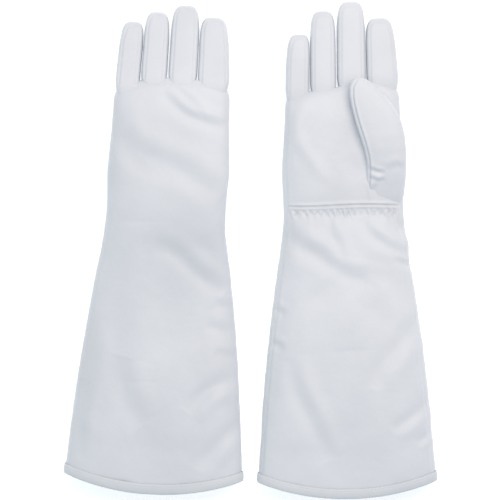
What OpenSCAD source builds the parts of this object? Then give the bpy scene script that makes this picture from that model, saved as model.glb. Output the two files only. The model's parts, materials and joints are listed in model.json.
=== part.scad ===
// A pair of long cryogenic gloves, lying side by side on a flat surface.
// The right glove lies palm up with its thumb folded over the palm.
// The left glove lies palm down with its thumb folded under the palm.
// Each glove is sewn from a coated shell, quilted insulation and a lining.
// Frame: origin at the bottom centre of the pair, +Y to the fingertips, +Z up, millimetres.

/* [Hand] */
// Width across the palm at the wrist seam
palm_w = 143; // [138:1:148]
// Height of the padded hand as it lies flat
hand_h = 30; // [28:1:32]
// Height of each padded finger as it lies flat
finger_h = 24; // [22:1:25]
// Width of the thumb
thumb_w = 50; // [44:1:52]
// Height of the folded thumb
thumb_h = 18; // [16:1:20]
// Length of the thumb
thumb_l = 128; // [115:1:130]

/* [Cuff] */
// Width of the cuff's open mouth
mouth_w = 210; // [195:1:220]
// Height of the cuff's open mouth
mouth_h = 46; // [42:1:54]
// How far the middle of the hem hangs below its corners
hem_bow = 19; // [5:1:25]
// Length of the binding that wraps the hem
binding_l = 10; // [8:1:14]
// Thickness of the binding strip
binding_t = 0.9; // [0.6:0.1:1.2]
// Width of the elastic sewn inside the palm side of the wrist
elastic_w = 18; // [12:1:24]

/* [Layers] */
// Thickness of the coated outer shell
shell_t = 0.8; // [0.6:0.1:1]
// Thickness of the quilted insulation
insulation_t = 3.3; // [3:0.1:3.6]
// Thickness of the soft lining
lining_t = 0.8; // [0.6:0.1:1]
// Space left between two layers
layer_gap = 0.1; // [0.08:0.01:0.12]
// Space left between two pieces that turn against each other
joint_gap = 0.5; // [0.4:0.1:0.8]

/* [Hidden] */
SIDES = ["right", "left"];
FINGERS = ["little", "ring", "middle", "index"];
FINGER_LAYERS = ["back", "palm", "sidewalls", "liner"];
THUMB_LAYERS = ["back", "palm", "liner"];
HAND_LAYERS = ["back", "palm", "insulation", "lining"];
CUFF_LAYERS = ["back", "palm", "insulation", "lining", "binding", "elastic"];
NODES = [
    for (side = SIDES) each [
        for (finger = FINGERS, layer = FINGER_LAYERS) str(side, "_", finger, "_", layer),
        for (layer = THUMB_LAYERS) str(side, "_thumb_", layer),
        for (layer = HAND_LAYERS) str(side, "_hand_", layer),
        for (layer = CUFF_LAYERS) str(side, "_cuff_", layer)
    ]
];
node = "all";

// Where each glove lies: right glove first, then left
glove_x = [110.06, -100.44];
lean = [0.7, -2.8];
shift_y = -0.44;
hem_y = [-272, -266];
wrist_y = 50;
knuckle_y = 200;

// Fingers, from the little finger to the index finger
finger_base_x = [-52.75, -22.25, 11.25, 46.25];
finger_base_w = [27.5, 32, 33.5, 35.5];
finger_tip_x = [-52.5, -22.5, 10, 46];
finger_tip_y = [[254, 281, 291.5, 272], [266, 279, 288, 275.5]];
tip_r = 17;

// Thumb: the end of its base, its turn over the palm, and the round neck that joins it to the palm
thumb_x = [51, 43];
thumb_y = 74;
thumb_turn = 14;
neck_s = 28;
neck_r = 13.4;
neck_t = 1;

// Depth of each layer's outer and inner face below the outside of the glove
shell_in = shell_t;
insulation_out = shell_in + layer_gap;
insulation_in = insulation_out + insulation_t;
lining_out = insulation_in + layer_gap;
lining_in = lining_out + lining_t;
wall_t = lining_in;

// Squareness of a section: 1 is an ellipse, lower values are squarer
section_k = 0.667;
hand_n = 16;
finger_n = 12;

// The left glove's hand lies on its own thumb, and each hem lies on its binding
thumb_lift = thumb_h + joint_gap;
hem_lift = binding_t + 3 * layer_gap;

shell_color = "#e6e9ee";
insulation_color = "#d9cfa8";
lining_color = "#c9d3dc";
binding_color = "#d8dde4";
elastic_color = "#f4f4f0";

function signed_power(v, k) = sign(v) * pow(abs(v), k);
function mix(a, b, t) = a + (b - a) * t;
function reversed(list) = [for (i = [len(list) - 1 : -1 : 0]) list[i]];

// Vertices sit half a step off the axes, so that every section has a flat bottom and a flat top
function steps(n, first, last) = [for (i = [first : last]) (i + 0.5) * 360 / n];
function section(angles, n, half_w, half_h, cx, y, cz, bow = 0) = [
    for (a = angles) let (
        across = signed_power(cos(a), section_k),
        up = signed_power(sin(a), section_k) / pow(cos(180 / n), section_k)
    ) [cx + half_w * across, y - bow * (1 - across * across), cz + half_h * up]
];

// Outline of the hand and cuff along the glove
function width_at(g, y) = lookup(y, [
    [hem_y[g], mouth_w], [-130, 184], [-60, 167], [0, 150],
    [wrist_y, palm_w], [92, 144.5], [140, 140], [knuckle_y, 131]
]);
function height_at(g, y) = lookup(y, [
    [hem_y[g], mouth_h], [0, hand_h + 2], [wrist_y, hand_h], [150, hand_h], [knuckle_y, finger_h + 2]
]);
function lift_at(g, y) = lookup(y, [
    [hem_y[g], hem_lift], [-200, 0], [-60, 0], [wrist_y, (g == 0) ? 0 : thumb_lift]
]);
function bow_at(g, y) = lookup(y, [[hem_y[g], hem_bow], [-200, 0]]);
function glove_ring(g, y, depth, angles) = section(
    angles, hand_n, width_at(g, y) / 2 - depth, height_at(g, y) / 2 - depth,
    0, y, lift_at(g, y) + height_at(g, y) / 2, bow_at(g, y)
);
function hand_ys() = [wrist_y + joint_gap / 2, 92, 140, knuckle_y - joint_gap / 2];
function cuff_ys(g) = [hem_y[g], -200, -130, -60, 0, wrist_y - joint_gap / 2];

// Rounding of a finger's or thumb's end: [distance from the tip, share of full size, turn of the surface]
END_STEPS = [[16, 1, 0], [7, 0.895, 0.45], [2, 0.61, 0.8], [0, 0.2, 1]];
smallest = 0.5;

// One finger's rings from its base to its tip, at a depth below its outside
function finger_ring(g, f, y, share, turn, depth, angles) = let (
    from_base = (y - knuckle_y) / (finger_tip_y[g][f] - knuckle_y),
    settle = min(1, (y - knuckle_y) / (finger_tip_y[g][f] - knuckle_y - tip_r + 1)),
    bottom = mix(lift_at(g, knuckle_y) + 1, 0, settle)
) section(
    angles, finger_n,
    max(finger_base_w[f] / 2 * share - depth, smallest), max(finger_h / 2 * share - depth, smallest),
    mix(finger_base_x[f], finger_tip_x[f], from_base), y - turn * depth, bottom + finger_h / 2
);
function finger_rings(g, f, depth, angles) = [
    finger_ring(g, f, knuckle_y + joint_gap / 2, 1, 0, depth, angles),
    for (e = END_STEPS) finger_ring(g, f, finger_tip_y[g][f] - e[0], e[1], e[2], depth, angles)
];

// The thumb's rings along its own +Y, closed at both ends
function thumb_z(g) = (g == 0) ? hand_h + joint_gap + thumb_h / 2 : thumb_h / 2;
function thumb_ring(g, y, share, turn, depth, angles) = section(
    angles, finger_n,
    max(thumb_w / 2 * share - depth, smallest), max(thumb_h / 2 * share - depth, smallest),
    0, y - turn * depth, thumb_z(g)
);
function thumb_rings(g, depth, angles) = [
    for (e = reversed(END_STEPS)) thumb_ring(g, e[0], e[1], -e[2], depth, angles),
    for (e = END_STEPS) thumb_ring(g, thumb_l - e[0], e[1] * 0.96, e[2], depth, angles)
];

// Triangles between neighbouring rows of points; rows and columns may close on themselves.
// From row turn_at on, each four-sided cell is split the other way, so that the two faces of a wall match.
function grid_faces(rows, cols, close_rows, close_cols, turn_at = 1000) = [
    for (r = [0 : rows - (close_rows ? 1 : 2)], c = [0 : cols - (close_cols ? 1 : 2)]) let (
        r2 = (r + 1) % rows,
        c2 = (c + 1) % cols,
        p = r * cols + c,
        q = r * cols + c2,
        s = r2 * cols + c2,
        t = r2 * cols + c
    ) each (r < turn_at) ? [[p, q, s], [p, s, t]] : [[p, q, t], [q, s, t]]
];
function flat_rows(rows) = [for (row = rows) each row];

// A wall that goes all the way round and is open at both ends
module tube(outer, inner) {
    rows = concat(outer, reversed(inner));
    polyhedron(flat_rows(rows), grid_faces(len(rows), len(rows[0]), true, true, len(outer)));
}

// A wall that goes part of the way round, with its two long edges closed
module panel(outer, inner) {
    rows = concat(outer, reversed(inner));
    m = len(outer);
    count = len(rows);
    cols = len(rows[0]);
    first_edge = [
        for (r = [0 : m - 2]) each [
            [r * cols, (r + 1) * cols, (count - 2 - r) * cols],
            [r * cols, (count - 2 - r) * cols, (count - 1 - r) * cols]
        ]
    ];
    last_edge = [for (f = first_edge) [f[0] + cols - 1, f[2] + cols - 1, f[1] + cols - 1]];
    polyhedron(flat_rows(rows), concat(grid_faces(count, cols, true, false, m), first_edge, last_edge));
}

// A closed skin with an end face at its first and last ring
module capsule(rings) {
    cols = len(rings[0]);
    last = (len(rings) - 1) * cols;
    polyhedron(flat_rows(rings), concat(
        grid_faces(len(rings), cols, false, true),
        [[for (c = [cols - 1 : -1 : 0]) c]],
        [[for (c = [0 : cols - 1]) last + c]]
    ));
}

module place(g) {
    translate([glove_x[g], shift_y, 0]) rotate([0, 0, lean[g]]) children();
}

module place_thumb(g) {
    place(g) translate([thumb_x[g], thumb_y, 0]) rotate([0, 0, thumb_turn]) children();
}

// Columns of a finger's section: its upper face, lower face and two side faces
function upper_steps(n) = steps(n, n / 12, n / 12 * 4);
function lower_steps(n) = steps(n, n / 12 * 7, n / 12 * 10);
function palm_steps(g, n) = (g == 0) ? upper_steps(n) : lower_steps(n);
function back_steps(g, n) = (g == 0) ? lower_steps(n) : upper_steps(n);

module finger_panel(g, f, angles) {
    color(shell_color) place(g) panel(finger_rings(g, f, 0, angles), finger_rings(g, f, shell_in, angles));
}

module finger_sidewalls(g, f) {
    finger_panel(g, f, steps(finger_n, -2, 1));
    finger_panel(g, f, steps(finger_n, 4, 7));
}

// Insulation and lining of a finger, quilted together into one cup
module finger_liner(g, f) {
    angles = steps(finger_n, 0, finger_n - 1);
    color(insulation_color) place(g) capsule(concat(
        reversed(finger_rings(g, f, insulation_out, angles)), finger_rings(g, f, wall_t, angles)
    ));
}

// The way from the thumb's hollow through the round neck to the inside of the hand
module neck_bore(g, r) {
    low = (g == 0) ? hand_h - wall_t - 1 : thumb_z(g);
    high = (g == 0) ? thumb_z(g) : thumb_lift + wall_t + 1;
    translate([0, neck_s, low]) cylinder(h = high - low, r = r, $fn = 48);
}

// The neck runs from the thumb's shell to the inner face of the palm
module neck_wall(g) {
    root_l = 2.5;
    low = (g == 0) ? hand_h - wall_t : thumb_h - root_l;
    high = (g == 0) ? hand_h + joint_gap + root_l : thumb_lift + wall_t;
    translate([0, neck_s, low]) cylinder(h = high - low, r = neck_r, $fn = 48);
}

// The half of the thumb's shell that faces away from the palm
module thumb_outer_half(g) {
    angles = (g == 0) ? steps(finger_n, 0, 5) : steps(finger_n, 6, 11);
    color(shell_color) place_thumb(g) panel(thumb_rings(g, 0, angles), thumb_rings(g, shell_in, angles));
}

// The half that faces the palm, with the neck that the wearer's thumb goes through
module thumb_inner_half(g) {
    angles = (g == 0) ? steps(finger_n, 5, 12) : steps(finger_n, -1, 6);
    color(shell_color) place_thumb(g) difference() {
        union() {
            panel(thumb_rings(g, 0, angles), thumb_rings(g, shell_in, angles));
            neck_wall(g);
        }
        neck_bore(g, neck_r - neck_t);
    }
}

module thumb_liner(g) {
    angles = steps(finger_n, 0, finger_n - 1);
    color(insulation_color) place_thumb(g) difference() {
        capsule(thumb_rings(g, insulation_out, angles));
        capsule(thumb_rings(g, wall_t, angles));
        neck_bore(g, neck_r + layer_gap);
    }
}

// Cuts the round hole that the thumb's neck turns in
module with_thumb_hole(g) {
    difference() {
        children();
        place_thumb(g) translate([0, neck_s, (g == 0) ? hand_h / 2 : thumb_h])
            cylinder(h = hand_h / 2 + 1, r = neck_r + joint_gap, $fn = 48);
    }
}

// The back panel wraps round both edges of the hand; the palm panel lies between the side seams
function palm_columns(g) = (g == 0) ? steps(hand_n, 0, 7) : steps(hand_n, 8, 15);
function back_columns(g) = (g == 0) ? steps(hand_n, 7, 16) : steps(hand_n, -1, 8);
function all_columns() = steps(hand_n, 0, hand_n - 1);
function glove_rings(g, ys, depth, angles) = [for (y = ys) glove_ring(g, y, depth, angles)];

module glove_panel(g, ys, angles) {
    color(shell_color) place(g) panel(glove_rings(g, ys, 0, angles), glove_rings(g, ys, shell_in, angles));
}

module glove_layer(g, ys, out_depth, in_depth) {
    place(g) tube(glove_rings(g, ys, out_depth, all_columns()), glove_rings(g, ys, in_depth, all_columns()));
}

module hand_palm(g) {
    with_thumb_hole(g) glove_panel(g, hand_ys(), palm_columns(g));
}

module hand_insulation(g) {
    color(insulation_color) with_thumb_hole(g) glove_layer(g, hand_ys(), insulation_out, insulation_in);
}

module hand_lining(g) {
    color(lining_color) with_thumb_hole(g) glove_layer(g, hand_ys(), lining_out, lining_in);
}

// A folded strip that wraps the cut edges of all the layers
module cuff_binding(g) {
    top = hem_y[g] + binding_l;
    end = hem_y[g] - 1.5;
    edge = hem_y[g] - layer_gap;
    outside = -layer_gap;
    inside = wall_t + layer_gap;
    profile = [
        [top, outside - binding_t], [end, outside - binding_t], [end, inside + binding_t], [top, inside + binding_t],
        [top, inside], [edge, inside], [edge, outside], [top, outside]
    ];
    rings = [for (p = profile) [
        for (v = glove_ring(g, max(p[0], hem_y[g]), p[1], all_columns())) v + [0, min(p[0] - hem_y[g], 0), 0]
    ]];
    color(binding_color) place(g)
        polyhedron(flat_rows(rings), grid_faces(len(rings), hand_n, true, true));
}

// Elastic sewn to the lining on the palm side, which gathers the wrist
module cuff_elastic(g) {
    elastic_t = 1.2;
    ys = [wrist_y - 4 - elastic_w, wrist_y - 4];
    angles = palm_columns(g);
    color(elastic_color) place(g) panel(
        glove_rings(g, ys, wall_t + layer_gap, angles), glove_rings(g, ys, wall_t + layer_gap + elastic_t, angles)
    );
}

module draw_finger(g, f, layer) {
    if (layer == "back") finger_panel(g, f, back_steps(g, finger_n));
    if (layer == "palm") finger_panel(g, f, palm_steps(g, finger_n));
    if (layer == "sidewalls") finger_sidewalls(g, f);
    if (layer == "liner") finger_liner(g, f);
}

module draw_thumb(g, layer) {
    if (layer == "back") thumb_outer_half(g);
    if (layer == "palm") thumb_inner_half(g);
    if (layer == "liner") thumb_liner(g);
}

module draw_hand(g, layer) {
    if (layer == "back") glove_panel(g, hand_ys(), back_columns(g));
    if (layer == "palm") hand_palm(g);
    if (layer == "insulation") hand_insulation(g);
    if (layer == "lining") hand_lining(g);
}

module draw_cuff(g, layer) {
    if (layer == "back") glove_panel(g, cuff_ys(g), back_columns(g));
    if (layer == "palm") glove_panel(g, cuff_ys(g), palm_columns(g));
    if (layer == "insulation") color(insulation_color) glove_layer(g, cuff_ys(g), insulation_out, insulation_in);
    if (layer == "lining") color(lining_color) glove_layer(g, cuff_ys(g), lining_out, lining_in);
    if (layer == "binding") cuff_binding(g);
    if (layer == "elastic") cuff_elastic(g);
}

function wanted(name) = node == "all" || node == name;

for (g = [0, 1]) {
    for (f = [0 : 3], layer = FINGER_LAYERS)
        if (wanted(str(SIDES[g], "_", FINGERS[f], "_", layer))) draw_finger(g, f, layer);
    for (layer = THUMB_LAYERS)
        if (wanted(str(SIDES[g], "_thumb_", layer))) draw_thumb(g, layer);
    for (layer = HAND_LAYERS)
        if (wanted(str(SIDES[g], "_hand_", layer))) draw_hand(g, layer);
    for (layer = CUFF_LAYERS)
        if (wanted(str(SIDES[g], "_cuff_", layer))) draw_cuff(g, layer);
}
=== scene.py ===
# %% [markdown]
# # A pair of cryogenic gloves
# Each glove is a padded gauntlet: a coated fabric shell, batting inside it and a soft lining. The right glove
# lies palm up with its thumb folded over the palm, and the left one lies palm down on its own thumb.
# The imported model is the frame: it says where each hinge is and how long each finger is, and every soft
# piece here is shaped around it.

# %% Load the frame
import json
import math
import bmesh
import bpy
import numpy as np
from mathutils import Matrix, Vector
from mathutils.bvhtree import BVHTree


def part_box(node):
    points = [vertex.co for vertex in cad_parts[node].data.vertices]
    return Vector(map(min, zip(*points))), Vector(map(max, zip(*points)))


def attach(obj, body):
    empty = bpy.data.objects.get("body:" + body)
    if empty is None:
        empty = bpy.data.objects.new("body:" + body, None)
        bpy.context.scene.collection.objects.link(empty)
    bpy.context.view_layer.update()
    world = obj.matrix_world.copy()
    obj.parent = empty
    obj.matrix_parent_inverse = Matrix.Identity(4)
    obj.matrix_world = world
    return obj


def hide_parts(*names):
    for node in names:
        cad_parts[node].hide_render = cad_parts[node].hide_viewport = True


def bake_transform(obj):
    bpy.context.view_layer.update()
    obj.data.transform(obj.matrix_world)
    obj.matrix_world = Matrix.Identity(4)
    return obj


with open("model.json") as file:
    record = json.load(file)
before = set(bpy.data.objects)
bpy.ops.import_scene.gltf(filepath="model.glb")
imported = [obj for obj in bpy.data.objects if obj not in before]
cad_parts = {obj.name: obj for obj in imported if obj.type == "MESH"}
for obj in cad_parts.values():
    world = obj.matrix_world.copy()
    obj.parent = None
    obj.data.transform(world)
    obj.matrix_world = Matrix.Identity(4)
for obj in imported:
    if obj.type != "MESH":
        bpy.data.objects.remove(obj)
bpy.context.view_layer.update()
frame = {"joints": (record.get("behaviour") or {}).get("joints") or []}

MM = 0.001
joints = {joint["name"]: joint for joint in frame["joints"]}

# %% [markdown]
# ## The glove's own ruler
# Both gloves are cut from one pattern. It has its own ruler in millimetres: x runs across the hand from the
# little finger to the thumb, v runs along the glove from the wrist seam (v = 0) to the fingertips, and z rises
# from the back of the hand to the palm. A palm-down glove turns z over and lies lower towards its tips.

# %% Pattern to world
SIDES = ("right", "left")
FINGERS = ("little", "ring", "middle", "index")
HAND_H = 30
THUMB_LIFT = 18.5


def smooth_steps(value, knots):
    """Value of a smooth curve through given (place, height) knots."""
    places = [k[0] for k in knots]
    heights = [k[1] for k in knots]
    if value <= places[0]:
        return heights[0]
    if value >= places[-1]:
        return heights[-1]
    i = max(j for j in range(len(places)) if places[j] <= value)
    t = (value - places[i]) / (places[i + 1] - places[i])

    def slope(j):
        low, high = max(j - 1, 0), min(j + 1, len(places) - 1)
        return (heights[high] - heights[low]) / (places[high] - places[low])

    span = places[i + 1] - places[i]
    a, b = heights[i], heights[i + 1]
    m0, m1 = slope(i) * span, slope(i + 1) * span
    return (
        (2 * t**3 - 3 * t**2 + 1) * a + (t**3 - 2 * t**2 + t) * m0
        + (3 * t**2 - 2 * t**3) * b + (t**3 - t**2) * m1
    )


class Glove:
    """Where one glove lies, read from its wrist hinge."""

    def __init__(self, side):
        self.side = side
        self.palm_up = side == "right"
        hinge = joints[side + "_wrist_bend"]
        self.origin = Vector(hinge["pos_m"][:2])
        self.across = Vector(hinge["axis"][:2]).normalized()
        self.along = Vector((-self.across.y, self.across.x))
        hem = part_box(side + "_cuff_binding")
        self.hem_v = -(self.origin.y - hem[0][1]) / MM + 21

    def top(self, v):
        """Height of the palm-down glove's upper face, which its palm hangs from."""
        return smooth_steps(v, [
            (-322, 47), (-200, 40.5), (-110, 35), (-50, 40), (0, 47.5), (60, 48.5), (140, 46), (190, 32), (236, 24)
        ])

    def world(self, x, v, z):
        plan = self.origin + (self.across * x + self.along * v) * MM
        height = z if self.palm_up else self.top(v) - z
        return Vector((plan.x, plan.y, height * MM))

    def local(self, point):
        """Pattern x and v of a world point in metres."""
        offset = (Vector(point[:2]) - self.origin) / MM
        return offset.dot(self.across), offset.dot(self.along)


gloves = [Glove(side) for side in SIDES]
for glove in gloves:
    print(glove.side, "glove: hem at v =", round(glove.hem_v, 1))

# %% [markdown]
# ## Camera, light and floor
# The gloves are seen from straight above. A long lens far away keeps the edges of both gloves upright in the
# picture. One broad lamp stands high on the thumb side so that folds throw soft shade, and a bright
# sky fills the rest, the way a light tent does.

# %% Camera
PICTURE_W = 585 * MM
CAMERA_H = 3.0
camera_data = bpy.data.cameras.new("camera")
camera_data.sensor_width = 36
camera_data.lens = 36 * (CAMERA_H - 0.03) / PICTURE_W
camera = bpy.data.objects.new("camera", camera_data)
camera.location = (-0.0005, -0.0009, CAMERA_H)
bpy.context.scene.collection.objects.link(camera)
bpy.context.scene.camera = camera
bpy.context.scene.view_settings.view_transform = "Standard"
print("lens:", round(camera_data.lens, 1), "mm")


# %% Colour helper
def hex_colour(code):
    """sRGB hex to the linear values that Blender mixes light with."""
    channels = [int(code[i:i + 2], 16) / 255 for i in (1, 3, 5)]
    linear = [c / 12.92 if c <= 0.04045 else ((c + 0.055) / 1.055) ** 2.4 for c in channels]
    return (*linear, 1.0)


# %% Light tent
world = bpy.data.worlds.new("light_tent")
bpy.context.scene.world = world
world.use_nodes = True
world.node_tree.nodes["Background"].inputs["Color"].default_value = hex_colour("#ECF6FB")
world.node_tree.nodes["Background"].inputs["Strength"].default_value = 0.67


def area_light(name, place, aim, size, power, colour):
    data = bpy.data.lights.new(name, "AREA")
    data.shape = "DISK"
    data.size = size
    data.energy = power
    data.color = hex_colour(colour)[:3]
    lamp = bpy.data.objects.new(name, data)
    lamp.location = place
    lamp.rotation_euler = (Vector(aim) - Vector(place)).to_track_quat("-Z", "Y").to_euler()
    bpy.context.scene.collection.objects.link(lamp)


area_light("key_lamp", (0.45, 0.75, 1.55), (0.0, 0.05, 0), 1.3, 15, "#FFEAE0")
area_light("top_lamp", (-0.4, 0.5, 2.2), (0, 0.1, 0), 1.0, 4, "#FFFFFF")


# %% [markdown]
# ## Materials
# The shell is woven polyester with a smooth polyurethane coat: nearly white, a little cool, with a broad soft
# gloss. The cloth under the coat shows as a very fine grain, and handling leaves shallow dents in the padding.

# %% Node helper
def new_material(name):
    material = bpy.data.materials.new(name)
    material.use_nodes = True
    return material, material.node_tree, material.node_tree.nodes["Principled BSDF"]


def add_node(tree, kind, links=None, **settings):
    """Adds a node; settings are its sockets or fields, links are sockets fed by another node's output."""
    node = tree.nodes.new(kind)
    for name, value in settings.items():
        socket = node.inputs.get(name.replace("_", " "))
        if socket is not None and not hasattr(node, name):
            socket.default_value = value
        else:
            setattr(node, name, value)
    for name, output in (links or {}).items():
        tree.links.new(output, node.inputs[name])
    return node


# %% Cloth shader
def cloth(name, light, dark, roughness, grain_mm, grain_depth_mm, dent_mm, dent_depth_mm, coat=0.0, sheen=0.0):
    """A fabric: two near shades in broad clouds, a woven grain and shallow dents."""
    material, tree, shader = new_material(name)
    place = add_node(tree, "ShaderNodeTexCoord").outputs["Object"]
    clouds = add_node(tree, "ShaderNodeTexNoise", {"Vector": place}, Scale=14.0, Detail=3.0)
    ramp = add_node(tree, "ShaderNodeValToRGB", {"Fac": clouds.outputs["Fac"]})
    ramp.color_ramp.elements[0].position = 0.35
    ramp.color_ramp.elements[0].color = hex_colour(dark)
    ramp.color_ramp.elements[1].position = 0.65
    ramp.color_ramp.elements[1].color = hex_colour(light)
    tree.links.new(ramp.outputs["Color"], shader.inputs["Base Color"])
    gloss = add_node(
        tree, "ShaderNodeMapRange", {"Value": clouds.outputs["Fac"]},
    )
    gloss.inputs["To Min"].default_value = roughness - 0.06
    gloss.inputs["To Max"].default_value = roughness + 0.06
    tree.links.new(gloss.outputs["Result"], shader.inputs["Roughness"])
    threads = [
        add_node(
            tree, "ShaderNodeTexWave", {"Vector": place}, bands_direction=direction,
            Scale=1 / (grain_mm * MM) / 3.14, Distortion=0.6, Detail=1.0,
        ).outputs["Fac"]
        for direction in ("X", "Y")
    ]
    weave = add_node(tree, "ShaderNodeMath", operation="MULTIPLY")
    tree.links.new(threads[0], weave.inputs[0])
    tree.links.new(threads[1], weave.inputs[1])
    dents = add_node(tree, "ShaderNodeTexNoise", {"Vector": place}, Scale=1 / (dent_mm * MM), Detail=2.0)
    dent_bump = add_node(
        tree, "ShaderNodeBump", {"Height": dents.outputs["Fac"]}, Strength=1.0, Distance=dent_depth_mm * MM
    )
    weave_bump = add_node(
        tree, "ShaderNodeBump", {"Height": weave.outputs["Value"], "Normal": dent_bump.outputs["Normal"]},
        Strength=1.0, Distance=grain_depth_mm * MM,
    )
    tree.links.new(weave_bump.outputs["Normal"], shader.inputs["Normal"])
    shader.inputs["Coat Weight"].default_value = coat
    shader.inputs["Coat Roughness"].default_value = 0.35
    shader.inputs["Sheen Weight"].default_value = sheen
    shader.inputs["Sheen Roughness"].default_value = 0.5
    return material


# %% The glove's fabrics
coated_polyester = cloth("coated_polyester", "#D9DDE3", "#D3D7DD", 0.46, 1.2, 0.02, 16, 0.5, coat=0.06)
binding_tape = cloth("binding_tape", "#D6DADF", "#CFD4DA", 0.5, 1.0, 0.04, 9, 0.3, coat=0.08)
fibre_batting = cloth("fibre_batting", "#E2D8B4", "#D2C79E", 0.9, 2.5, 0.3, 6, 0.8, sheen=0.3)
brushed_knit = cloth("brushed_knit", "#D3DCE4", "#C2CCD6", 0.85, 1.6, 0.15, 12, 0.4, sheen=0.4)
woven_elastic = cloth("woven_elastic", "#F2F2EE", "#E6E6E0", 0.7, 1.5, 0.2, 8, 0.1)
sewing_thread = cloth("sewing_thread", "#DDE0E4", "#D2D6DB", 0.55, 0.6, 0.05, 5, 0.05, sheen=0.2)
print("fabrics:", len(bpy.data.materials))

# %% Floor
floor_material, floor_tree, floor_shader = new_material("white_paper")
floor_shader.inputs["Base Color"].default_value = hex_colour("#FBFCFD")
floor_shader.inputs["Roughness"].default_value = 0.9
floor_shader.inputs["Specular IOR Level"].default_value = 0.1
floor_shader.inputs["Emission Color"].default_value = hex_colour("#FFFFFF")
floor_shader.inputs["Emission Strength"].default_value = 0.42
floor_mesh = bpy.data.meshes.new("floor")
floor_mesh.from_pydata([(-4, -4, 0), (4, -4, 0), (4, 4, 0), (-4, 4, 0)], [], [(0, 1, 2, 3)])
floor = bpy.data.objects.new("floor", floor_mesh)
floor_mesh.materials.append(floor_material)
bpy.context.scene.collection.objects.link(floor)


# %% [markdown]
# ## Soft solids
# A padded part starts as a stack of rings, each a squared oval. The stack is remeshed to an even grid and
# blown up a little by the cloth simulation, so it swells between its seams like real padding.

# %% Rings and lofts
def ring(glove, v, left, right, low, high, square=0.6, count=40, bow=0.0, skew=None):
    """One squared oval across the glove, from x left to right and z low to high."""
    centre_x, half_x = (left + right) / 2, (right - left) / 2
    centre_z, half_z = (low + high) / 2, (high - low) / 2
    points = []
    for i in range(count):
        angle = (i + 0.5) * 2 * math.pi / count
        across = math.copysign(abs(math.cos(angle)) ** square, math.cos(angle))
        up = math.copysign(abs(math.sin(angle)) ** square, math.sin(angle))
        x = centre_x + half_x * across
        shift = -bow * (1 - across * across) + (skew(x) if skew else 0)
        points.append(glove.world(x, v + shift, centre_z + half_z * up))
    return points


def new_piece(name, bm, material):
    mesh = bpy.data.meshes.new(name)
    bm.normal_update()
    bm.to_mesh(mesh)
    bm.free()
    mesh.materials.append(material)
    piece = bpy.data.objects.new(name, mesh)
    bpy.context.scene.collection.objects.link(piece)
    for face in mesh.polygons:
        face.use_smooth = True
    return piece


def loft(name, rings, material, close_ends=True, close_profile=False):
    """Skins a stack of rings; close_profile joins the last ring back to the first."""
    bm = bmesh.new()
    rows = [[bm.verts.new(p) for p in points] for points in rings]
    pairs = list(zip(rows, rows[1:]))
    if close_profile:
        pairs.append((rows[-1], rows[0]))
    for lower, upper in pairs:
        for i in range(len(lower)):
            j = (i + 1) % len(lower)
            bm.faces.new((lower[i], lower[j], upper[j], upper[i]))
    if close_ends and not close_profile:
        bm.faces.new(rows[0])
        bm.faces.new(rows[-1])
    bmesh.ops.recalc_face_normals(bm, faces=bm.faces)
    return new_piece(name, bm, material)


# %% Mesh arrays
def coordinates(piece):
    flat = np.empty(len(piece.data.vertices) * 3, np.float64)
    piece.data.vertices.foreach_get("co", flat)
    return flat.reshape(-1, 3)


def normals(piece):
    flat = np.empty(len(piece.data.vertices) * 3, np.float64)
    piece.data.vertices.foreach_get("normal", flat)
    return flat.reshape(-1, 3)


def set_coordinates(piece, co):
    piece.data.vertices.foreach_set("co", co.astype(np.float32).ravel())
    piece.data.update()


def pattern_plan(glove, co):
    """Pattern x and v of every point."""
    offset = (co[:, :2] - np.array(glove.origin)) / MM
    return offset @ np.array(glove.across), offset @ np.array(glove.along)


def apply_modifiers(piece):
    """Bakes the modifier stack into the mesh."""
    graph = bpy.context.evaluated_depsgraph_get()
    mesh = bpy.data.meshes.new_from_object(piece.evaluated_get(graph))
    old = piece.data
    piece.modifiers.clear()
    piece.data = mesh
    bpy.data.meshes.remove(old)
    for face in mesh.polygons:
        face.use_smooth = True


# %% Padding by cloth simulation
def remesh(piece, voxel_mm, evening=3):
    """An even grid of faces, laid back on the shape it was made from."""
    shape = BVHTree.FromObject(piece, bpy.context.evaluated_depsgraph_get())
    modifier = piece.modifiers.new("even_grid", "REMESH")
    modifier.mode = "VOXEL"
    modifier.voxel_size = voxel_mm * MM
    modifier.use_smooth_shade = True
    apply_modifiers(piece)
    snapped = np.array([shape.find_nearest(vert.co)[0] for vert in piece.data.vertices])
    co = np.stack([spread(piece, snapped[:, axis], evening) for axis in range(3)], axis=1)
    set_coordinates(piece, co)


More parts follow.
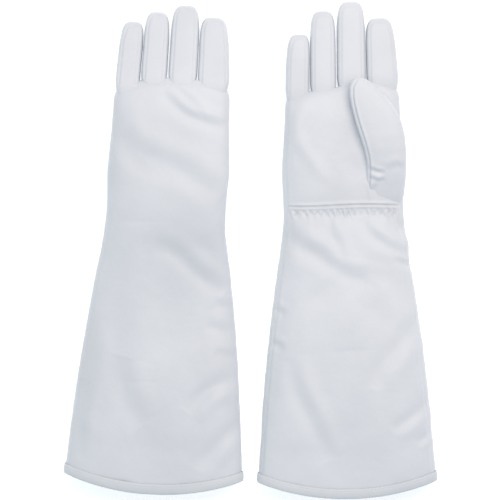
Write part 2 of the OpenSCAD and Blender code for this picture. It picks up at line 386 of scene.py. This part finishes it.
def soften(piece, pinned, pressure, cap_mm, sink_mm, frames=14, bigger=0.0):
    """Blows the padded piece up as cloth; pinned gives each point's hold from 0, free, to 1, fixed."""
    start = coordinates(piece)
    group = piece.vertex_groups.new(name="sewn")
    for index, hold in enumerate(pinned(start)):
        group.add([index], float(hold), "REPLACE")
    modifier = piece.modifiers.new("padding", "CLOTH")
    settings = modifier.settings
    settings.quality = 4
    settings.mass = 0.25
    settings.tension_stiffness = 12
    settings.compression_stiffness = 12
    settings.shear_stiffness = 6
    settings.bending_stiffness = 0.6
    settings.use_pressure = True
    settings.uniform_pressure_force = pressure
    settings.vertex_group_mass = "sewn"
    settings.shrink_min = -bigger
    settings.effector_weights.gravity = 0
    scene = bpy.context.scene
    for number in range(1, frames + 1):
        scene.frame_set(number)
    graph = bpy.context.evaluated_depsgraph_get()
    swollen = piece.evaluated_get(graph)
    flat = np.empty(len(piece.data.vertices) * 3, np.float64)
    swollen.data.vertices.foreach_get("co", flat)
    outward = normals(piece)
    rise = ((flat.reshape(-1, 3) - start) * outward).sum(axis=1)
    limit = np.where(rise > 0, cap_mm, sink_mm) * MM
    rise = spread(piece, limit * np.tanh(rise / limit), 16)
    piece.modifiers.clear()
    piece.vertex_groups.clear()
    scene.frame_set(1)
    end = start + outward * rise[:, None]
    end[:, 2] = np.maximum(end[:, 2], 0.0002)
    set_coordinates(piece, end)
    print(piece.name, "moved", round(rise.min() / MM, 1), "to", round(rise.max() / MM, 1), "mm")


def spread(piece, values, rounds):
    """Evens out a value per point with those of its neighbours."""
    ends = np.empty(len(piece.data.edges) * 2, np.int64)
    piece.data.edges.foreach_get("vertices", ends)
    first, second = ends.reshape(-1, 2).T
    count = np.bincount(ends, minlength=len(values))
    for _ in range(rounds):
        total = np.bincount(first, values[second], len(values)) + np.bincount(second, values[first], len(values))
        values = 0.5 * values + 0.5 * total / np.maximum(count, 1)
    return values


def refine(piece, levels=1):
    modifier = piece.modifiers.new("finer", "SUBSURF")
    modifier.levels = levels
    modifier.render_levels = levels
    apply_modifiers(piece)


# %% [markdown]
# ## Folds and seams
# A fold is a soft valley with a rounded ridge beside it. A seam is a narrow valley, where the thread pulls the
# padding together. Both follow a few points on the pattern and push the surface in along its own face.

# %% Distance to a path
def path_distance(x, v, path):
    """Signed distance to a path in mm, and how far along it (0 to 1) the nearest point is."""
    points = np.array(path, float)
    spans = np.linalg.norm(np.diff(points, axis=0), axis=1)
    starts = np.concatenate(([0], np.cumsum(spans)))
    best = np.full(len(x), 1e9)
    signed = np.zeros(len(x))
    along = np.zeros(len(x))
    for i, span in enumerate(spans):
        direction = (points[i + 1] - points[i]) / span
        dx, dv = x - points[i, 0], v - points[i, 1]
        t = np.clip(dx * direction[0] + dv * direction[1], 0, span)
        ex, ev = dx - t * direction[0], dv - t * direction[1]
        distance = np.hypot(ex, ev)
        side = np.sign(direction[0] * dv - direction[1] * dx)
        near = distance < best
        best = np.where(near, distance, best)
        signed = np.where(near, distance * side, signed)
        along = np.where(near, (starts[i] + t) / starts[-1], along)
    return signed, along


def smooth_path(path, step=6.0):
    """Rounds the corners of a path with a spline through its points."""
    points = [Vector(p) for p in path]
    rounded = []
    for i in range(len(points) - 1):
        before = points[max(i - 1, 0)]
        after = points[min(i + 2, len(points) - 1)]
        a, b = points[i], points[i + 1]
        pieces = max(1, int((b - a).length / step))
        for s in range(pieces):
            t = s / pieces
            rounded.append(0.5 * (
                2 * a + (b - before) * t + (2 * before - 5 * a + 4 * b - after) * t * t
                + (3 * a - before - 3 * b + after) * t**3
            ))
    rounded.append(points[-1])
    return [tuple(p) for p in rounded]


# %% Press folds and seams into a piece
def face_mask(glove, piece, face):
    """How far each point belongs to the upper or the lower face, 0 to 1."""
    up = normals(piece)[:, 2]
    if face == "lower":
        up = -up
    return np.clip((up + 0.05) / 0.45, 0, 1)


def press(glove, piece, folds=(), seams=(), face="upper"):
    """folds are (path, width, depth, ridge); seams are (path, width, depth)."""
    co = coordinates(piece)
    x, v = pattern_plan(glove, co)
    mask = face_mask(glove, piece, face)
    push = np.zeros(len(co))
    for path, width, depth, ridge in folds:
        signed, along = path_distance(x, v, smooth_path(path))
        ends = np.sin(np.pi * np.clip(along, 0.0, 1.0)) ** 0.6
        fade = np.exp(-(signed / (3.2 * width)) ** 4)
        valley = -depth * np.exp(-(signed / width) ** 2)
        crest = ridge * np.exp(-((signed - 1.7 * width) / (1.1 * width)) ** 2)
        push += (valley + crest) * ends * fade
    for path, width, depth in seams:
        signed, along = path_distance(x, v, smooth_path(path))
        near = np.abs(signed)
        push -= depth * np.exp(-(near / width) ** 2)
        push += 0.25 * depth * np.exp(-((near - 2.4 * width) / (1.2 * width)) ** 2)
    co += normals(piece) * (push * mask * MM)[:, None]
    co[:, 2] = np.maximum(co[:, 2], 0.0002)
    set_coordinates(piece, co)


# %% [markdown]
# ## Cuff and hand
# The back panel runs from the hem to the fingers without a break, so the cuff and the hand are one piece across
# the wrist hinge. The hem flares to an open mouth whose middle hangs lower than its corners.

# %% Outline of the gauntlet
HALF_W = [(-322, 105), (-250, 99.5), (-180, 92.3), (-110, 83.5), (-50, 75.3), (-5, 71.2), (8, 71), (40, 72.5), (90, 69.8), (152, 67)]
HEIGHT = [(-322, 45), (-200, 40), (-100, 34), (-30, 30.5), (-4, 28.5), (12, 29.5), (90, 30), (152, 26)]
BOW = 19
# bulges of the thumb side's edge: middle, width and size
EDGE_BULGES = {"right": [(-44, 12, 2.4), (-65, 8, -1.4)], "left": [(-30, 16, -1.2)]}
FRONT = {
    "right": [(-66, 129), (-38.5, 137), (-5, 142), (28, 149), (48, 146), (66, 138)],
    "left": [(-66, 134), (-38.5, 146), (-5, 151), (28, 151), (48, 148), (66, 141)],
}


def half_width(v):
    return smooth_steps(v, HALF_W)


def height(v):
    return smooth_steps(v, HEIGHT)


def gauntlet_ring(glove, v, depth=0.0, share=1.0, count=64, lead=0.0):
    """Ring of the cuff and hand at v, sunk by depth; share closes it towards the fingers."""
    half = half_width(v) * (1 - 0.06 * (1 - share)) - depth
    middle = height(v) / 2
    tall = max((middle - depth) * share, 0.8)
    bow = BOW * max(0.0, min(1.0, (-180 - v) / 130))
    front = FRONT[glove.side]
    ease = max(0.0, min(1.0, (v + lead - 95) / 45)) ** 2

    def skew(x):
        return ease * (smooth_steps(x, front) - 143)

    square = smooth_steps(v, [(90, 0.62), (132, 0.46)])
    bulge = sum(size * math.exp(-((v - at) / width) ** 2) for at, width, size in EDGE_BULGES[glove.side])
    return ring(glove, v, -half, half + bulge, middle - tall, middle + tall, square, count, bow, skew)


def hem_lift(glove, points, v):
    """Raises the hem by the thickness of its binding."""
    lift = 1.15 * MM * max(0.0, min(1.0, (-250 - v) / 60))
    return [p + Vector((0, 0, lift)) for p in points]


# %% Shape of the gauntlet
FRONT_STEPS = [(128, 1.0), (135, 0.97), (139, 0.88), (142, 0.7), (144, 0.42)]


def gauntlet(glove):
    stations = [glove.hem_v + 8 * i for i in range(56)]
    stations = [v for v in stations if v < 122]
    rings = [hem_lift(glove, gauntlet_ring(glove, v), v) for v in stations]
    rings += [gauntlet_ring(glove, v, share=share) for v, share in FRONT_STEPS]
    piece = loft(glove.side + "_gauntlet", rings, coated_polyester)
    remesh(piece, 3.0, evening=12)

    def pinned(co):
        x, v = pattern_plan(glove, co)
        hem = np.clip((glove.hem_v + 40 - v) / 25, 0, 1)
        front = np.clip((v - 118) / 12, 0, 1)
        wrist = 0.8 * np.exp(-((v + 2) / 7) ** 2) * face_mask(glove, piece, "upper" if glove.palm_up else "lower")
        return np.maximum.reduce([hem, front, wrist])

    soften(piece, pinned, 0.8, 1.8, 0.9, bigger=0.014)
    cut_hem(glove, piece)
    refine(piece)
    return piece


def cut_hem(glove, piece):
    """Opens the cuff's mouth: everything below the binding's middle goes."""
    bm = bmesh.new()
    bm.from_mesh(piece.data)
    half = half_width(glove.hem_v)
    gone = []
    for face in bm.faces:
        x, v = glove.local(face.calc_center_median())
        edge = glove.hem_v - BOW * max(0.0, 1 - (x / half) ** 2)
        facing = abs(face.normal.dot(glove.along.to_3d()))
        if v < edge + 4.5 or (v < glove.hem_v + 9 and facing > 0.6):
            gone.append(face)
    bmesh.ops.delete(bm, geom=gone, context="FACES")
    bm.to_mesh(piece.data)
    bm.free()


gauntlets = {glove.side: gauntlet(glove) for glove in gloves}
for side, piece in gauntlets.items():
    print(side, "gauntlet:", len(piece.data.polygons), "faces")

# %% Folds of the gauntlets
RIGHT_FOLDS = [
    # path, width, depth, height of the ridge beside it
    ([(-72, -30), (-34, -58), (4, -80), (26, -86)], 10, 2.4, 1.8),
    ([(-22, -16), (-10, -44), (0, -66)], 7, 1.2, 0.9),
    ([(20, -14), (30, -32), (52, -48), (76, -58)], 7, 1.7, 1.4),
    ([(56, -10), (66, -24), (76, -34)], 5, 1.2, 0.9),
    ([(58, -62), (74, -70), (84, -70)], 4, 1.5, 1.0),
    ([(-84, -119), (-70, -126)], 5, 1.4, 0.8),
    ([(-88, -158), (-72, -166)], 5, 1.4, 0.8),
    ([(-66, -176), (-60, -212), (-42, -252), (-22, -296)], 10, 2.2, 2.0),
    ([(94, -128), (72, -150), (40, -190), (34, -214)], 11, 2.0, 1.4),
    ([(100, -226), (76, -246), (52, -262)], 7, 1.7, 1.3),
    ([(102, -262), (80, -278)], 5, 1.3, 0.9),
    ([(-40, 132), (-52, 104), (-50, 76), (-30, 46), (-8, 20)], 8, -1.7, 0.0),
    ([(-24, 118), (-44, 92), (-58, 76)], 6, 0.8, 0.4),
    ([(18, 92), (2, 62), (22, 34)], 12, 1.5, 0.2),
    ([(28, 30), (30, 18), (33, 3)], 3, -1.1, 0.0),
    ([(12, -60), (2, -112), (4, -168)], 26, -2.4, 0.0),
]
LEFT_FOLDS = [
    ([(-62, 132), (-35, 140), (-6, 145), (33, 144), (56, 138)], 3, 0.9, 0.3),
    ([(-12, 132), (10, 112), (32, 102), (64, 94)], 7, 2.2, 1.9),
    ([(-4, 142), (20, 124), (40, 108)], 5, 1.0, 0.8),
    ([(-71, 88), (-35, 60), (14, 42), (62, 14)], 13, 2.2, 1.6),
    ([(-58, 66), (-30, 40), (6, 34)], 9, 0.9, 0.5),
    ([(-14, -46), (14, -56), (40, -78), (72, -98)], 10, 2.3, 1.9),
    ([(60, -110), (84, -117)], 6, 1.0, 0.5),
    ([(52, -136), (86, -146)], 7, 1.1, 0.5),
    ([(64, -168), (90, -173)], 6, 0.9, 0.5),
    ([(-40, -178), (-44, -204), (-34, -232), (-16, -256)], 14, 2.4, 1.2),
    ([(96, -196), (60, -210), (36, -238)], 9, 2.0, 1.6),
    ([(101, -246), (72, -274), (52, -304)], 9, 1.7, 1.4),
    ([(-84, -206), (-90, -250), (-88, -300)], 8, 1.8, 1.0),
    ([(-31, -20), (-27, -110), (-22, -205)], 22, -3.0, 0.0),
]


def side_seams(glove):
    """The two seams that join the palm panel to the back panel, just inside the palm side's edges."""
    stations = [glove.hem_v + 12, -250, -180, -110, -50, 0, 50, 100, 126]
    inset = 4.5
    return [
        ([(sign * (half_width(v) - inset), v) for v in stations], 1.3, 0.55)
        for sign in (-1, 1)
    ]


right, left = gloves
press(right, gauntlets["right"], RIGHT_FOLDS, side_seams(right), "upper")
press(left, gauntlets["left"], LEFT_FOLDS, (), "upper")
press(left, gauntlets["left"], (), side_seams(left), "lower")


# %% [markdown]
# ## Gathers at the wrist
# Elastic sewn inside the palm side draws the cuff in, so the cloth just below the wrist seam stands in small
# pleats that die away towards the forearm. The seam itself is a narrow double ridge above them.

# %% Pleats
def zigzag_path():
    """The elastic's zigzag seam, drawn a little unevenly."""
    return [(3.9 * i + 0.5 * math.sin(2.1 * i), -9.4 + 0.5 * math.sin(1.3 * i) if i % 2 else -4.6) for i in range(-17, 18)]


def finer_band(glove, piece, low_v, high_v):
    """Splits the faces of a band into smaller ones, so that it can hold small creases."""
    bm = bmesh.new()
    bm.from_mesh(piece.data)
    inside = {vert for vert in bm.verts if low_v < glove.local(vert.co)[1] < high_v}
    edges = [edge for edge in bm.edges if edge.verts[0] in inside and edge.verts[1] in inside]
    bmesh.ops.subdivide_edges(bm, edges=edges, cuts=1, use_grid_fill=True)
    bm.to_mesh(piece.data)
    bm.free()
    for face in piece.data.polygons:
        face.use_smooth = True


def gather(glove, piece, face):
    co = coordinates(piece)
    x, v = pattern_plan(glove, co)
    mask = face_mask(glove, piece, face)
    v = v - 0.9 * np.sin(x / 21.0 + 0.5)
    place = x + 2.3 * np.sin(x / 13.0) + 1.1 * np.sin(x / 5.1 + 1.0)
    strength = 0.65 + 0.35 * np.sin(x / 9.0 + 2.0) + 0.25 * np.sin(x / 3.7)
    near = np.exp(-((v + 7) / 5.0) ** 2)
    far = np.exp(-np.clip(-8 - v, 0, None) / 12.0) * np.clip((-3 - v) / 4, 0, 1)
    slant = 0.35 * (v + 7)
    pleats = near * np.sin(2 * np.pi * (place + slant) / 7.4)
    pleats += 0.7 * far * np.sin(2 * np.pi * (place - 0.04 * v * x / 10) / 15.5 + 0.6)
    depth = 0.9 * strength * np.clip((-1.5 - v) / 2, 0, 1)
    edge = np.clip((66 - np.abs(x)) / 6, 0, 1)
    seam = 1.4 * np.exp(-((v - 3.4) / 1.5) ** 2) + 1.1 * np.exp(-((v + 1.4) / 1.4) ** 2)
    seam -= 0.9 * np.exp(-((v - 1.0) / 0.9) ** 2)
    seam *= 1 + 0.25 * np.sin(x / 2.9) * np.sin(x / 11.0)
    zigzag, _ = path_distance(x, v, zigzag_path())
    seam -= 0.9 * np.exp(-(zigzag / 1.0) ** 2) * (0.7 + 0.3 * np.sin(x / 6.0))
    push = (pleats * depth * edge + seam * edge) * mask
    co += normals(piece) * (push * MM)[:, None]
    co[:, 2] = np.maximum(co[:, 2], 0.0002)
    set_coordinates(piece, co)


for glove in gloves:
    finer_band(glove, gauntlets[glove.side], -16, 7)
gather(right, gauntlets["right"], "upper")
gather(left, gauntlets["left"], "lower")

# %% [markdown]
# ## Fingers
# Each finger is a padded box: a back and a palm panel joined by two narrow side strips, with squarish tips.

# %% Finger shape
FINGER_W = {"little": 28.6, "ring": 30.7, "middle": 34.2, "index": 34.6}
TIP_STEPS = [(26, 0.985), (16, 0.955), (9, 0.89), (4, 0.77), (1.2, 0.6), (0, 0.42)]
TIP_SHIFT = {"little": 3.0, "ring": 0.5, "middle": 0.0, "index": -2.0}


def finger_frame(glove, finger):
    """Base x, tip x and tip v of a finger, from its hinge and its packed box."""
    base_x, base_v = glove.local(joints[f"{glove.side}_{finger}_bend"]["pos_m"])
    low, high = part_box(f"{glove.side}_{finger}_liner")
    tip = glove.local(((low[0] + high[0]) / 2, high[1]))
    return base_x, base_x + TIP_SHIFT[finger], tip[1] + 0.8


def finger_edges(glove, finger, v):
    base_x, tip_x, tip_v = finger_frame(glove, finger)
    t = (v - 120) / (tip_v - 120)
    centre = base_x + (tip_x - base_x) * max(t, 0) ** 2
    half = FINGER_W[finger] / 2 * (1 - 0.05 * max(0, t))
    flare = 5.0 * max(0, 1 - t) if finger == "index" else 0
    return centre - half, centre + half + flare


def finger_piece(glove, finger):
    base_x, tip_x, tip_v = finger_frame(glove, finger)
    start_v = smooth_steps(base_x, FRONT[glove.side]) - 15
    length = tip_v - 27 - start_v
    rings = []
    stations = [(start_v + length * i / 12, 1.0) for i in range(13)]
    stations += [(tip_v - gap, share) for gap, share in TIP_STEPS]
    for v, share in stations:
        low_x, high_x = finger_edges(glove, finger, v)
        root = smooth_steps(v, [(start_v, 0.74), (start_v + 9, 0.9), (start_v + 19, 1.0)])
        centre, half = (low_x + high_x) / 2, (high_x - low_x) / 2 * share * root
        tall = (12.3 - 1.3 * (v - start_v) / (tip_v - start_v)) * share * root
        rings.append(ring(glove, v, centre - half, centre + half, 12.6 - tall, 12.6 + tall, 0.45, 36))
    piece = loft(f"{glove.side}_{finger}", rings, coated_polyester)
    remesh(piece, 2.0)

    def pinned(co):
        x, v = pattern_plan(glove, co)
        return np.clip((start_v + 22 - v) / 10, 0, 1)

    soften(piece, pinned, 0.8, 1.0, 0.3, frames=8)
    refine(piece)
    for face in ("upper", "lower"):
        depth = 0.4 if (face == "upper") == glove.palm_up else 0.7
        press(glove, piece, (), [(finger_seam(glove, finger, start_v + 14, tip_v), 0.95, depth)], face)
    return piece


def finger_seam(glove, finger, start_v, tip_v):
    """A U along both long edges of a finger's face and round its tip."""
    inset = 4.6
    stations = [start_v, (start_v + tip_v) / 2, tip_v - 22]
    left_side, right_side = [], []
    for v in stations:
        low_x, high_x = finger_edges(glove, finger, v)
        left_side.append((low_x + inset, v))
        right_side.append((high_x - inset, v))
    low_x, high_x = finger_edges(glove, finger, tip_v)
    turn = [
        (low_x + inset + 0.8, tip_v - 12), (low_x + inset + 3.5, tip_v - 6.5), ((low_x + high_x) / 2, tip_v - 4.8),
        (high_x - inset - 3.5, tip_v - 6.5), (high_x - inset - 0.8, tip_v - 12),
    ]
    return left_side + turn + right_side[::-1]


finger_pieces = {
    (glove.side, finger): finger_piece(glove, finger) for glove in gloves for finger in FINGERS
}
print("fingers:", len(finger_pieces))

# %% [markdown]
# ## Thumbs
# The thumb is cut in one with the ball of the hand. Its base is sewn flat into the palm down to the wrist seam,
# and its upper half lies free over the palm with a thick double seam along its inner edge.

# %% Thumb shape
THUMB = [
    # v, left x, right x, low z, high z
    (3, 29, 68, 14, 25),
    (12, 27.5, 71, 15, 29.6),
    (30, 26.5, 73, 18, 36.8),
    (50, 27, 73.6, 23, 43.5),
    (66, 24, 73.4, 28, 46.5),
    (82, 19, 72, 30.8, 48),
    (98, 14, 68.4, 31.2, 48.3),
    (114, 10, 60.5, 31.2, 47.8),
    (128, 7.6, 50, 31.2, 46.8),
    (139, 7.2, 39, 31.6, 45.4),
    (146, 9.2, 31.5, 32.6, 43.8),
    (150, 13, 26, 34.6, 41.5),
]


def thumb_piece(glove):
    inset = 0 if glove.palm_up else -7
    rings = [
        ring(glove, v, low_x + inset, high_x + inset, low_z, high_z, 0.68, 40)
        for v, low_x, high_x, low_z, high_z in THUMB
    ]
    piece = loft(glove.side + "_thumb", rings, coated_polyester)
    remesh(piece, 2.0)

    def pinned(co):
        x, v = pattern_plan(glove, co)
        return np.clip((40 - v) / 15, 0, 1)

    soften(piece, pinned, 0.8, 1.2, 0.3, frames=8)
    refine(piece)
    return piece


thumb_pieces = {glove.side: thumb_piece(glove) for glove in gloves}
INNER_EDGE = [(29.5, 22), (30, 50), (27, 66), (22.5, 82), (17.5, 98), (13.5, 114), (11.2, 128), (11.5, 139), (16, 146)]
press(
    right, thumb_pieces["right"],
    [([(x + 2.6, v) for x, v in INNER_EDGE], 1.5, -1.0, 0), ([(27, 45), (38, 40), (48, 38)], 2.8, 1.3, 1.1), ([(28, 34), (40, 29), (50, 31)], 3, 1.3, 1.2),
     ([(32, 12), (38, 22), (47, 30)], 4, 1.3, 1.2), ([(50, 40), (62, 46), (73, 44)], 5, 1.2, 0.8)],
    [(INNER_EDGE, 1.0, 1.1)], "upper",
)

# %% [markdown]
# ## Layers inside
# The batting and the lining show only at the open mouth and inside the cuff. They are rings of the same
# pattern, sunk below the shell.

# %% Batting and lining
def layer(glove, name, outer, inner, material, v_from, v_to, count=20):
    stations = [v_from + (v_to - v_from) * i / (count - 1) for i in range(count)]
    outside = [hem_lift(glove, gauntlet_ring(glove, v, outer, count=48), v) for v in stations]
    inside = [hem_lift(glove, gauntlet_ring(glove, v, inner, count=48), v) for v in stations[::-1]]
    return loft(f"{glove.side}_{name}", outside + inside, material, close_profile=True)


battings = {g.side: layer(g, "batting", 4.2, 4.9, fibre_batting, g.hem_v, 118) for g in gloves}
linings = {g.side: layer(g, "lining", 5.0, 5.6, brushed_knit, g.hem_v, 118) for g in gloves}


def finger_liner(glove, finger):
    base_x, tip_x, tip_v = finger_frame(glove, finger)
    rings = []
    start_v = smooth_steps(base_x, FRONT[glove.side]) - 12
    shell = [(start_v, 1.0), (tip_v - 30, 1.0), (tip_v - 16, 0.95), (tip_v - 9, 0.8), (tip_v - 7, 0.5)]
    for depth, order in ((3.2, shell), (5.2, shell[::-1])):
        for v, share in order:
            low_x, high_x = finger_edges(glove, finger, v)
            centre, half = (low_x + high_x) / 2, ((high_x - low_x) / 2 - depth) * share
            back = (depth - 3.2) * (v > tip_v - 20)
            tall = (11 - depth) * share
            rings.append(ring(glove, v - back, centre - half, centre + half, 12.6 - tall, 12.6 + tall, 0.6, 24))
    opened = rings[:5][::-1] + rings[5:][::-1]
    return loft(f"{glove.side}_{finger}_liner_quilt", opened, brushed_knit)


finger_liners = {(g.side, f): finger_liner(g, f) for g in gloves for f in FINGERS}


def thumb_liner(glove):
    inset = 0 if glove.palm_up else -7
    rings = [
        ring(glove, v, low_x + inset + 4, high_x + inset - 4, low_z + 3.6, high_z - 3.6, 0.7, 24)
        for v, low_x, high_x, low_z, high_z in THUMB[4:10]
    ]
    return loft(glove.side + "_thumb_liner_quilt", rings, brushed_knit)


thumb_liners = {g.side: thumb_liner(g) for g in gloves}

# %% [markdown]
# ## Hem binding and elastic
# A folded strip of the shell fabric wraps the cut edges of all the layers at the hem.

# %% Binding
def binding(glove):
    strip = 1.0
    hem = glove.hem_v
    # v above the hem, depth below the shell's outside
    profile = [
        (10, -0.35), (9.5, -strip), (5, -strip - 0.35), (1, -strip - 0.2), (-1.2, -0.4), (-2.0, 1.2), (-2.0, 4.4),
        (-1.2, 6.0), (1, 6.6), (5, 6.7), (9.5, 6.5), (10, 5.9), (9, 5.6), (0.2, 5.6), (0.2, 0.05), (9, 0.05),
    ]
    rings = []
    for rise, depth in profile:
        points = gauntlet_ring(glove, max(hem + rise, hem), depth, count=96)
        drop = min(rise, 0) * MM
        shift = glove.along.to_3d() * drop
        rings.append([p + shift for p in hem_lift(glove, points, hem)])
    return loft(glove.side + "_binding", rings, binding_tape, close_profile=True)


bindings = {g.side: binding(g) for g in gloves}


def elastic(glove):
    rings = [
        gauntlet_ring(glove, v, depth, count=48)
        for v, depth in ((-22, 5.7), (-4, 5.7), (-4, 6.7), (-22, 6.7))
    ]
    return loft(glove.side + "_elastic", rings, woven_elastic, close_profile=True)


elastics = {g.side: elastic(g) for g in gloves}

# %% [markdown]
# ## Stitches
# Thread shows as short raised dashes: a straight row along the binding and a zigzag over the wrist elastic.

# %% Stitch maker
def surface_of(*pieces):
    graph = bpy.context.evaluated_depsgraph_get()
    trees = []
    for piece in pieces:
        trees.append(BVHTree.FromObject(piece, graph))
    return trees


def drop_to(trees, point, upper):
    """The point's height on the pieces below it, or above it for the lower face."""
    ray = Vector((0, 0, -1 if upper else 1))
    start = Vector((point.x, point.y, 0.2 if upper else -0.05))
    hits = [tree.ray_cast(start, ray)[0] for tree in trees]
    hits = [hit for hit in hits if hit is not None]
    if not hits:
        return None
    return max(hits, key=lambda h: h.z) if upper else min(hits, key=lambda h: h.z)


def stitch(bm, a, b, radius):
    """One short thread: a six-sided spindle from a to b, thin where it enters the cloth."""
    axis = b - a
    side = axis.cross(Vector((0, 0, 1))).normalized()
    up = side.cross(axis).normalized()
    rows = []
    for t, share in ((0, 0.35), (0.2, 0.95), (0.5, 1.1), (0.8, 0.95), (1, 0.35)):
        centre = a + axis * t + up * radius * 0.25 * share
        rows.append([
            bm.verts.new(centre + (side * math.cos(k * math.pi / 3) + up * math.sin(k * math.pi / 3)) * radius * share)
            for k in range(6)
        ])
    for lower, upper in zip(rows, rows[1:]):
        for k in range(6):
            bm.faces.new((lower[k], lower[(k + 1) % 6], upper[(k + 1) % 6], upper[k]))
    bm.faces.new(rows[0])
    bm.faces.new(rows[-1])


def stitch_row(name, glove, trees, path, length, gap, radius, upper):
    """Stitches at an even spacing along a pattern path, laid on the surface."""
    bm = bmesh.new()
    points = [Vector(p) for p in smooth_path(path, 1.0)]
    travelled, start = 0.0, None
    for a, b in zip(points, points[1:]):
        travelled += (b - a).length
        if start is None and travelled >= gap:
            start, travelled = b, 0.0
        elif start is not None and travelled >= length:
            ends = [drop_to(trees, glove.world(p.x, p.y, 0), upper) for p in (start, b)]
            if all(ends):
                stitch(bm, ends[0], ends[1], radius * MM)
            start, travelled = None, 0.0
    bmesh.ops.recalc_face_normals(bm, faces=bm.faces)
    return new_piece(name, bm, sewing_thread)


# %% Rows of stitches
def hem_path(glove, rise):
    hem = glove.hem_v + rise
    half = half_width(hem) - 9
    bow = BOW * max(0.0, min(1.0, (-180 - hem) / 130))
    full = half_width(hem)
    return [(x, hem - bow * (1 - (x / full) ** 2)) for x in np.linspace(-half, half, 25)]


stitches = {}
for glove in gloves:
    trees = surface_of(bindings[glove.side])
    stitches[glove.side, "hem"] = stitch_row(
        glove.side + "_hem_stitches", glove, trees, hem_path(glove, 7.6), 3.0, 1.0, 0.3, True
    )
    trees = surface_of(gauntlets[glove.side], thumb_pieces[glove.side])
    stitches[glove.side, "wrist"] = stitch_row(
        glove.side + "_wrist_stitches", glove, trees, zigzag_path(), 2.2, 0.7, 0.32,
        glove.palm_up,
    )
print("stitch rows:", len(stitches))

# %% [markdown]
# ## Joining the pieces to the frame
# The binding, elastic and hem stitches are attached to the cuff's body. Pieces that cross a hinge are kept in world
# coordinates and are not blended between bodies, and the frame's parts that the soft pieces replace are hidden.

# %% Bodies and replaced nodes
def cross_wrist(glove, piece):
    tuple(glove.world(0, -26, 15))
    tuple(glove.world(0, 22, 15))
    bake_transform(piece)


for glove in gloves:
    side = glove.side
    cross_wrist(glove, gauntlets[side])
    cross_wrist(glove, battings[side])
    cross_wrist(glove, linings[side])
    cross_wrist(glove, stitches[side, "wrist"])
    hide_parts(*[f"{side}_{part}_{face}" for part in ("cuff", "hand") for face in ("back", "palm")])
    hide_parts(f"{side}_cuff_insulation", f"{side}_hand_insulation")
    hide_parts(f"{side}_cuff_lining", f"{side}_hand_lining")
    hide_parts(f"{side}_cuff_binding")
    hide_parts(f"{side}_cuff_elastic")
    for piece in (bindings[side], elastics[side], stitches[side, "hem"]):
        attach(piece, side + "_cuff")
    for finger in FINGERS:
        hinge_x, hinge_v = glove.local(joints[f"{side}_{finger}_bend"]["pos_m"])
        for piece in (finger_pieces[side, finger], finger_liners[side, finger]):
            tuple(glove.world(hinge_x, hinge_v - 9, 12))
            tuple(glove.world(hinge_x, hinge_v + 9, 12))
            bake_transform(piece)
        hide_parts(*[f"{side}_{finger}_{face}" for face in ("back", "palm", "sidewalls")])
        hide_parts(f"{side}_{finger}_liner")
    for piece in (thumb_pieces[side], thumb_liners[side]):
        tuple(glove.world(50, 22, 30))
        tuple(glove.world(42, 80, 30))
        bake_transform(piece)
    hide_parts(f"{side}_thumb_back", f"{side}_thumb_palm")
    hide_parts(f"{side}_thumb_liner")
